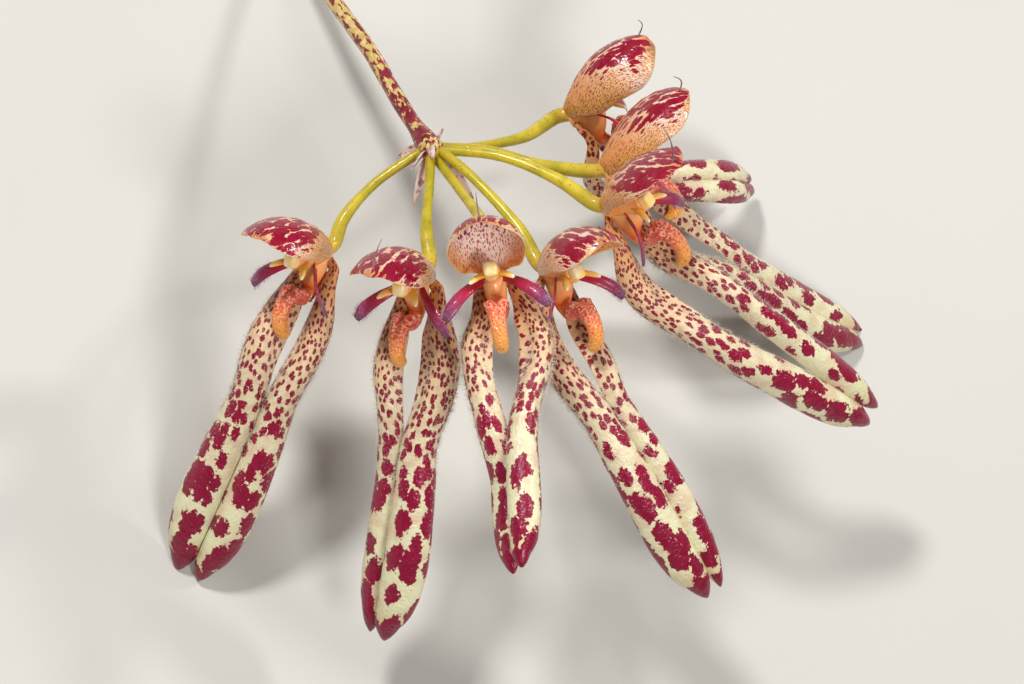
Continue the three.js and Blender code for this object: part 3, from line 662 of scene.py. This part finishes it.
def makeStalk():
    bm = startMesh()

    def radiusAt(share):
        wider = 1 + stalk["widening"] * smoothstep(share, stalk["widensFrom"], 1)
        return stalk["radius"] * wider * (1 + stalk["unevenness"] * math.sin(share * 47))
    layTube(bm, stalk["route"], radiusAt, stalk["around"], stalk["rows"])
    flow, share = bm.verts.layers.float_vector["flow"], bm.verts.layers.float_vector["share"]
    for face in bm.faces:
        if all(vert[share].x < 0.001 for vert in face.verts):
            face.material_index = 2  # the cut end
    hub = Matrix.Scale(stalk["hubLonger"], 4, stalk["hubAxis"])
    made = bmesh.ops.create_uvsphere(bm, u_segments=28, v_segments=18, radius=stalk["hubRadius"], matrix=hub)
    for vert in made["verts"]:
        vert.co *= 1 + stalk["hubBumps"] * noise.noise(vert.co * 1.3)
        vert[flow], vert[share] = vert.co * 1.7, (0.72, 0, 0)  # mottled like the stalk a little below it
    for lot, (toward, length, halfWidth) in enumerate(stalk["bracts"]):
        out = Vector(toward).normalized()
        route = [out * length * place + Vector((0, -droop, 0)) for place, droop in stalk["bractRoute"]]
        face = out.cross(Vector((0.3, 0.5, 0.2)))
        layBlade(bm, route, face, [part * halfWidth for part in stalk["bractWidths"]], stalk["bractWall"],
                 stalk["bractCup"], 16, 18, finish=1, lot=lot)
    finishPiece("stalk", bm, [skins["stalk"], skins["bract"], skins["cut"]], ["peduncle"])


pedicel = {
    "radii": [0.6325, 0.612, 0.648, 0.86, 1],  # evenly spaced, from the hub to the ovary
    "ends": [(0, 0.6, -0.9), (0, -0.1, 0.5)], "sunk": 0.2, "around": 14, "rows": 44,
}


def makePedicel(number, flower, head):
    bm = startMesh()
    start = Vector(flower["root"]).normalized() * (stalk["hubRadius"] - pedicel["sunk"])
    route = [start] + flower["via"] + inHead(head, pedicel["ends"])
    layTube(bm, route, lambda share: readList(pedicel["radii"], share), pedicel["around"], pedicel["rows"],
            lot=number)
    finishPiece(f"pedicel_{number}", bm, [skins["pedicel"]], [f"flower_{number}_pedicel"])


column = {
    "body": [(0, -0.55, -0.1), (0, -0.95, 2.2), (0, -1.1, 4.2), (0, -1.1, 5.6)], "radius": 1.2, "tall": 1.2,
    "cap": (0, -1.1, 6.1), "capSize": (1.02, 1.08, 0.95), "capCube": 1.72, "capBevel": 0.42,
    "capRounded": 0.6,
    "foot": [(0, -1.2, 2.2), (0, -3, 1.75), (0, -4.8, 1.5), (0, -6.4, 2.2)],
    "footHalfWidths": [1.35, 1.35, 1.05, 0.85], "footHalfThicknesses": [2.3, 1.9, 1, 0.5],
    "tooth": [(0.4, -1.2, 4.4), (1.3, -1.6, 5.4), (2.1, -2.1, 6.2), (2.7, -2.7, 6.9)],
    "toothFace": (-0.1, 0.75, 0.65), "toothHalfWidths": [0.75, 0.62, 0.45, 0.42, 0.1],
    "toothWall": 0.42, "toothCup": 0.1,
}


def makeColumn(number, head):
    bm = startMesh()
    ahead, up = head.to_3x3() @ Vector((0, 0, 1)), head.to_3x3() @ Vector((0, 1, 0))
    layTube(bm, inHead(head, column["body"]), lambda share: column["radius"] * (1 - 0.1 * share), 20, 20,
            facing=up, flatAt=lambda share: column["tall"])

    def footWidth(share):
        return readList(column["footHalfWidths"], share)

    def footFlatness(share):
        return readList(column["footHalfThicknesses"], share) / footWidth(share)
    layTube(bm, inHead(head, column["foot"]), footWidth, 24, 26, finish=1, facing=ahead, flatAt=footFlatness)
    x, y, z = column["toothFace"]
    for side in (1, -1):
        layBlade(bm, inHead(head, column["tooth"], side), head.to_3x3() @ Vector((side * x, y, z)),
                 column["toothHalfWidths"], column["toothWall"], column["toothCup"], 14, 14, finish=3)
    before = len(bm.faces)
    spot = head @ Matrix.Translation(column["cap"]) @ Matrix.Diagonal((*column["capSize"], 1))
    made = bmesh.ops.create_cube(bm, size=column["capCube"])["verts"]
    edges = list({edge for vert in made for edge in vert.link_edges})
    bmesh.ops.bevel(bm, geom=edges, offset=column["capBevel"], segments=4, profile=0.5, affect="EDGES",
                    material=-1)
    bm.faces.ensure_lookup_table()
    cap = {vert for face in bm.faces[before:] for vert in face.verts}
    for vert in cap:
        vert.co = spot @ vert.co.lerp(vert.co.normalized() * 1.05, column["capRounded"])
    for face in bm.faces[before:]:
        face.material_index = 2
    finishes = [skins[name] for name in ("column", "foot", "cap", "tooth")]
    finishPiece(f"column_{number}", bm, finishes, [f"flower_{number}_column"])


hood = {
    "wall": 0.3, "spread": 92, "around": 44, "rows": 52,  # spread is its degrees to each side of the crown
    # forward, crown height, margin height and half width of each station
    "stations": [(-0.3, 0.7, -0.5, 0.5), (0.3, 1.25, -0.4, 1.15), (1, 1.75, -0.3, 1.75),
                 (2.2, 2.45, -0.2, 2.65), (4, 3.4, 0, 3.5), (6.5, 4.3, 0.4, 4.3), (8.6, 4.6, 0.65, 4.55),
                 (10.4, 4.5, 0.8, 4.25), (11.7, 4.2, 1.15, 3.6), (12.7, 3.85, 1.6, 2.65),
                 (13.4, 3.5, 2.1, 1.6), (13.9, 3.1, 2.55, 0.7), (14.05, 2.9, 2.75, 0.15)],
    # forward places between which each lift of a flower's own hood comes in
    "middleLift": (1, 5), "frontLift": (6, 12), "crestLift": (4, 13),
    "leastDepth": 0.5, "closing": 0.8, "flare": 0.35, "bumps": 0.09,
    "bristleRoot": (0, 3.5, 13), "bristleBow": 0.7, "bristleRadii": (0.13, 0.05),
}


def makeHood(number, flower, head):
    bm = startMesh()
    half, edge = hood["around"] // 2, math.radians(hood["spread"])
    stations, rows = hood["stations"], hood["rows"]
    first, last = stations[0][0], stations[-1][0]
    middle, front, crest = flower["hood"]

    def surface(col, row):
        share = 1 - (1 - row / rows) ** 1.4
        forward = blend(first, last, share)
        crown, margin, halfWidth = readRows(stations, forward)
        crown += crest * smoothstep(forward, *hood["crestLift"])
        lifted = blend(middle, front, smoothstep(forward, *hood["frontLift"]))
        margin += lifted * smoothstep(forward, *hood["middleLift"])
        closing = min(1, (last - forward) / hood["closing"])
        margin = min(margin, crown - hood["leastDepth"] * closing)
        inner = col >= half
        k = col if not inner else hood["around"] - 1 - col
        side = 2 * k / (half - 1) - 1
        angle = side * edge
        wall = 0 if row in (0, rows) else hood["wall"] * (1 - 0.4 * abs(side) ** 4) * inner
        tall = crown - margin
        wide, tall = max(halfWidth - wall, 0.3 * halfWidth), max(tall - wall, 0.3 * tall)
        lift = (math.cos(angle) - math.cos(edge)) / (1 - math.cos(edge))
        bumps = hood["bumps"] * noise.noise(Vector((side * 3, forward * 0.9, number * 5))) * closing
        flare = hood["flare"] * smoothstep(abs(side), 0.7, 1) * smoothstep(forward, 6, 12) * closing
        spot = Vector(((wide + bumps + flare) * math.sin(angle), margin + (tall + bumps) * lift, forward))
        reach = -flower["patch"] if inner else flower["patch"]
        lot = number * 7.3
        return head @ spot, (angle * halfWidth + lot, forward + lot, lot), (share, side, reach)
    layGrid(bm, hood["around"], rows, surface)
    thick, fine = hood["bristleRadii"]
    up, ahead = flower["bristle"]
    x, y, z = hood["bristleRoot"]
    route = [(x, y + crest + up * share, z + ahead * share + hood["bristleBow"] * math.sin(math.pi * share))
             for share in (0, 0.25, 0.5, 0.75, 1)]
    layTube(bm, inHead(head, route), lambda share: blend(thick, fine, share), 8, 16, finish=1)
    finishPiece(f"hood_{number}", bm, [skins["hood"], skins["bristle"]],
                [f"flower_{number}_dorsal_sepal"])


petal = {
    "route": [(1, -1.4, 2.8), (3.3, -3, 4.7), (5, -4.6, 5.3), (6.3, -6.3, 5)],
    "face": (-0.3, 0.45, 0.85), "halfWidths": [0.5, 0.6, 0.74, 0.8, 0.78, 0.45], "wall": 0.2, "cup": 0.3,
    "cilia": 110, "ciliaLength": (0.2, 0.65), "ciliumRadius": 0.022,
}


def petalFace(head, side, turned):
    root, tip = Vector(petal["route"][0]), Vector(petal["route"][-1])
    face = Matrix.Rotation(math.radians(turned), 3, tip - root) @ Vector(petal["face"])
    return head.to_3x3() @ Vector((side * face.x, face.y, face.z))


def makePetal(number, head, side, turned, word):
    bm = startMesh()
    layBlade(bm, inHead(head, petal["route"], side), petalFace(head, side, turned), petal["halfWidths"],
             petal["wall"], petal["cup"], 16, 26, lot=number)
    finishPiece(f"petal_{word}_{number}", bm, [skins["petal"]], [f"flower_{number}_petal_{word}"])


lip = {
    # height and forward place of the tongue's middle line, from its hinge to its tip
    "route": [(-6.7, 2.8), (-5.9, 3.5), (-5.4, 4.5), (-5.9, 5.5), (-7.1, 6.1), (-8.6, 6.1), (-9.8, 5.6),
              (-10.4, 4.8), (-10.3, 3.9)],
    "halfWidths": [1, 1.3, 1.35, 1.2, 1.05, 0.98, 0.92, 0.85, 0.6],
    "halfThicknesses": [0.7, 0.95, 1.1, 1.05, 1, 0.95, 0.9, 0.8, 0.5],
    "grooves": [0.3, 0.5, 0.55, 0.45, 0.25, 0.1, 0, 0, 0], "grooveWidth": 0.32, "ridges": 0.12,
    "warts": 0.035, "frill": 0.5, "frillWaves": 75, "around": 32, "rows": 60,
}


def makeLip(number, head):
    bm = startMesh()
    curve = curveThrough(inHead(head, [(0, y, z) for y, z in lip["route"]]))
    sideways = head.to_3x3() @ Vector((1, 0, 0))
    around, rows = lip["around"], lip["rows"]

    def surface(col, row):
        share = min(max((row - 1) / (rows - 2), 0), 1)
        place, tangent = curve(share)
        out = -sideways.cross(tangent).normalized()
        tip = math.sqrt(max(0, 1 - max(0, (share - 0.86) / 0.16) ** 2))
        shrink = 0 if row in (0, rows) else tip * math.sqrt(min(1, share / 0.05 + 0.2))
        wide, thick = readList(lip["halfWidths"], share), readList(lip["halfThicknesses"], share)
        angle = 2 * math.pi * col / around
        x, y = math.cos(angle), math.sin(angle)
        deep = readList(lip["grooves"], share) * (y > 0)
        groove = deep * math.exp(-(x / lip["grooveWidth"]) ** 2)
        ridge = lip["ridges"] * deep * math.exp(-((abs(x) - 0.55) / 0.2) ** 2)
        warts = lip["warts"] * noise.noise(Vector((x * 3, y * 3, share * 22 + number * 9)))
        spot = place + sideways * (x * wide * shrink * (1 + warts))
        spot += out * ((y - groove + ridge + warts) * thick * shrink)
        # the wavy curls at the sides of its root
        curled = smoothstep(share, 0.03, 0.12) * (1 - smoothstep(share, 0.28, 0.4))
        waves = 0.65 + 0.35 * math.sin(share * lip["frillWaves"] + number + x * 2)
        curled *= smoothstep(y, -0.6, 0.2) * lip["frill"] * abs(x) ** 3 * waves
        spot += out * curled + sideways * math.copysign(0.4 * curled, x)
        return spot, (x * wide, share * curve.length, number), (share, y, number)
    layGrid(bm, around, rows, surface)
    finishPiece(f"lip_{number}", bm, [skins["lip"]], [f"flower_{number}_lip"])


sepal = {
    "neck": (0.7, -0.9, 0.3), "base": (1.95, -2.1, 0.2), "seamStart": (0, -2.4, 0.9), "clearance": -0.1,
    # share of the length, half width and height of the arched cross-section
    "profile": [(-0.06, 0.5, 0.45), (0, 0.75, 0.6), (0.05, 1.15, 1), (0.09, 1.4, 1.25), (0.13, 1.6, 1.45),
                (0.18, 1.75, 1.6), (0.23, 1.82, 1.68), (0.29, 1.88, 1.74), (0.36, 1.94, 1.78),
                (0.44, 2.06, 1.85), (0.53, 2.25, 1.95), (0.63, 2.4, 2), (0.73, 2.5, 2), (0.82, 2.42, 1.95),
                (0.89, 2.12, 1.75), (0.94, 1.58, 1.35), (0.975, 0.95, 0.85), (0.992, 0.48, 0.42),
                (1, 0.15, 0.12)],
    # wrap is the degrees to each side of the crown. facedBy, cantedBy and widestAt are shares of the length.
    "wrap": 104, "tipSpread": 0.6, "wall": 0.5, "leastHollow": 0.15, "facedBy": 0.25, "cantedBy": 0.35,
    "startGap": 1.25, "widestAt": 0.2, "tuckDrop": 1.5, "around": 36, "rows": 88,
    # share of the length, and the millimetres from one marking to the next there
    "markings": [(-0.06, 0.55), (0.15, 0.6), (0.3, 0.8), (0.42, 1.25), (0.55, 2.2), (1, 3.2)],
    "bumps": 0.07, "hairs": 1300, "hairLength": (0.25, 0.62), "hairRadius": 0.02,
}


def sepalRows(flower, head, side):  # the line of the arch's open side and the way its crown looks
    seam = curveThrough([head @ Vector(sepal["seamStart"])] + flower["seam"])
    neck, base = inHead(head, (sepal["neck"], sepal["base"]), side)
    forward = head.to_3x3() @ Vector((0, 0, 1))
    front, hand = Vector(flower["front"]).normalized(), 1 if side > 0 else 0
    widest, join, count = sepal["widestAt"], flower["join"], sepal["rows"]
    line, broadest = [], 0
    for row in range(count + 1):
        t = 1 - 1.06 * (1 - row / count) ** 1.3
        half, height = readRows(sepal["profile"], t)
        half *= flower["wide"][hand]
        height *= blend(1, flower.get("flat", 1), smoothstep(t, 0.4, 0.7))
        broadest = max(broadest, half)
        reach = max(half, broadest * blend(1, sepal["tipSpread"], smoothstep(t, 0.7, 1)))
        middle, tangent = seam(t)
        out = forward.lerp(front, smoothstep(t, 0, sepal["facedBy"]))
        out = (out - tangent * out.dot(tangent)).normalized()
        across = out.cross(tangent) * side
        opened = blend(sepal["startGap"], flower["opening"], smoothstep(t, 0, widest))
        gap = opened * (1 - smoothstep(t, widest, join))
        cant = math.radians(flower["cant"][hand]) * smoothstep(t, 0, sepal["cantedBy"])
        tuck = reach * flower["tucked"][hand] * smoothstep(t, join - 0.1, join + 0.12)
        apart = gap + sepal["clearance"] / 2 + reach * math.cos(cant) - tuck
        centre = middle + across * apart - out * (reach * math.sin(cant) + tuck * sepal["tuckDrop"])
        centre = base.lerp(centre, min(t / 0.05, 1)) if t > 0 else base.lerp(neck, -t / 0.06)
        line.append((t, centre, out * math.cos(cant) + across * math.sin(cant), half, height))
    rows, flowing = [], 0
    for row, (t, centre, crown, half, height) in enumerate(line):
        before, after = line[max(row - 1, 0)], line[min(row + 1, count)]
        tangent = (after[1] - before[1]).normalized()
        out = (crown - tangent * crown.dot(tangent)).normalized()
        pitch = readRows(sepal["markings"], t)[0]
        if row:
            flowing += (centre - line[row - 1][1]).length / pitch
        rows.append((t, centre, out.cross(tangent), out, half, height, pitch, flowing))
    return rows


def makeSepal(number, flower, head, side, word):
    bm = startMesh()
    rows = sepalRows(flower, head, side)
    around, half = sepal["around"], sepal["around"] // 2
    wrap, lot = math.radians(sepal["wrap"]), number * 11.7 + side * 3.1
    flap = flower["flaps"][1 if side > 0 else 0]

    def surface(col, row):
        t, centre, across, out, wide, tall, pitch, flowing = rows[row]
        inner = col >= half
        k = col if not inner else around - 1 - col
        place = 2 * k / (half - 1) - 1
        angle = place * wrap
        wall = sepal["wall"] * (1 - 0.35 * abs(place) ** 6) * inner * (row not in (0, len(rows) - 1))
        least = sepal["leastHollow"] if inner and wall else 0.02
        bump = sepal["bumps"] * noise.noise(Vector((angle * 1.8, t * 30, lot))) * (1 - inner)
        x = max(wide - wall + bump, least) * math.sin(angle)
        y = max(tall - wall + bump, least) * math.cos(angle)
        spread = smoothstep(t, 0.03, 0.12) * (1 - smoothstep(t, 0.2, 0.4))
        x -= side * smoothstep(-side * place, 0.62, 1) * spread * flap
        spot = centre + across * x + out * y
        return spot, (angle * wide / pitch + lot, flowing + lot, lot), (t, -side * place, number)
    layGrid(bm, around, sepal["rows"], surface)
    name = f"sepal_{word}_{number}"
    finishPiece(name, bm, [skins["sepal"]], [f"flower_{number}_lateral_sepal_{word}"])
    return rows


def addHair(bm, place, away, length, radius, finish=0):
    turned = away.to_track_quat("Z", "Y").to_matrix().to_4x4()
    spot = Matrix.Translation(place + away.normalized() * length / 2) @ turned
    made = bmesh.ops.create_cone(bm, segments=3, radius1=radius, radius2=0, depth=length, cap_ends=True,
                                 matrix=spot)["verts"]
    for face in made[0].link_faces[:] + made[1].link_faces[:] if finish else ():
        face.material_index = finish


def hairSepal(bm, rows, dice):
    wrap = math.radians(sepal["wrap"])
    for _ in range(sepal["hairs"]):
        t = dice.triangular(0.06, 0.68, 0.27)
        row = min(range(len(rows)), key=lambda k: abs(rows[k][0] - t))
        _, centre, across, out, wide, tall, _, _ = rows[row]
        if row + 1 < len(rows):
            centre = centre.lerp(rows[row + 1][1], dice.random())
        place = dice.choice((-1, 1)) * dice.triangular(0, 1, 0.9)
        angle = place * wrap
        spot = centre + across * wide * math.sin(angle) + out * tall * math.cos(angle)
        away = across * math.sin(angle) * tall + out * math.cos(angle) * wide
        away = away.normalized() + Vector([dice.uniform(-0.4, 0.4) for _ in range(3)])
        length = dice.uniform(*sepal["hairLength"]) * (1.15 - 0.6 * smoothstep(t, 0.4, 0.7))
        addHair(bm, spot, away, length, sepal["hairRadius"])


def hairPetal(bm, head, side, turned, dice):
    curve = curveThrough(inHead(head, petal["route"], side))
    face = petalFace(head, side, turned)
    for _ in range(petal["cilia"]):
        share = dice.triangular(0.4, 1, 1)
        place, tangent = curve(share)
        sideways = face.cross(tangent).normalized() * dice.choice((-1, 1))
        spot = place + sideways * readList(petal["halfWidths"], share) * 0.96
        away = sideways + tangent * dice.uniform(0, 0.8)
        away += Vector([dice.uniform(-0.3, 0.3) for _ in range(3)])
        addHair(bm, spot, away, dice.uniform(*petal["ciliaLength"]), petal["ciliumRadius"], 1)


makeStalk()
print("stalk, hub and bracts made")
for number, flower in enumerate(flowers, 1):
    head = headFrame(flower)
    dice = random.Random(number)
    makePedicel(number, flower, head)
    makeColumn(number, head)
    makeHood(number, flower, head)
    makeLip(number, head)
    hairs = startMesh()
    for word, side in (("left", -1), ("right", 1)):
        turned = flower["turned"][1 if side > 0 else 0]
        makePetal(number, head, side, turned, word)
        hairPetal(hairs, head, side, turned, dice)
        hairSepal(hairs, makeSepal(number, flower, head, side, word), dice)
    finishPiece(f"hairs_{number}", hairs, [skins["hair"], skins["cilium"]], levels=0)
    print(f"flower {number} made")


# The floor, the light and the camera.
studio = {
    "floorSize": 3.0, "floor": ("c6c3bd", "c1beb7"),
    "cameraPlace": (9.84, -23.4, 905), "halfFrame": 61.44, "frameDistance": 900,  # mm, in the umbel's frame
    "lights": [  # place in metres round the part, size, watts
        ((-0.3, 0.34, 0.62), 0.1, 4.3), ((0.42, 0.2, 0.5), 0.08, 1.6), ((0.1, -0.45, 0.75), 0.25, 3.6)],
    "aim": (0, 0, 0.03), "sky": 0.27, "skyColour": (1, 0.99, 0.97, 1), "sensor": 36,
}


def makeStudio():
    bpy.ops.mesh.primitive_plane_add(size=studio["floorSize"])
    floor = bpy.context.object
    floor.name = "floor"
    made, shader = startFinish("floorFinish", {"Roughness": 0.85, "Specular IOR Level": 0.2})
    wear(shader, mix(drift(objectPlace(), 9, 0, 1, 3), *studio["floor"]))
    floor.data.materials.append(made)
    for i, (place, size, watts) in enumerate(studio["lights"]):
        light = bpy.data.lights.new(f"softbox{i}", "AREA")
        light.shape, light.size, light.energy = "DISK", size, watts
        lamp = bpy.data.objects.new(light.name, light)
        lamp.location = place
        lamp.rotation_euler = (Vector(studio["aim"]) - Vector(place)).to_track_quat("-Z", "Y").to_euler()
        bpy.context.scene.collection.objects.link(lamp)
    world = bpy.data.worlds.new("studio")
    world.use_nodes = True
    sky = world.node_tree.nodes["Background"]
    sky.inputs["Color"].default_value = studio["skyColour"]
    sky.inputs["Strength"].default_value = studio["sky"]
    bpy.context.scene.world = world
    bpy.context.scene.view_settings.view_transform = "Standard"


def makeCamera():
    lens = bpy.data.cameras.new("camera")
    lens.sensor_width = studio["sensor"]
    lens.lens = studio["sensor"] * studio["frameDistance"] / (2 * studio["halfFrame"])
    lens.clip_start, lens.clip_end = 0.05, 20
    camera = bpy.data.objects.new("camera", lens)
    spot = umbelToPart @ Vector(studio["cameraPlace"])
    turned = umbelToPart.to_3x3().normalized().to_4x4()
    camera.matrix_world = Matrix.Translation(spot) @ turned
    bpy.context.scene.collection.objects.link(camera)
    bpy.context.scene.camera = camera


makeStudio()
makeCamera()
print("floor, lights and camera set")
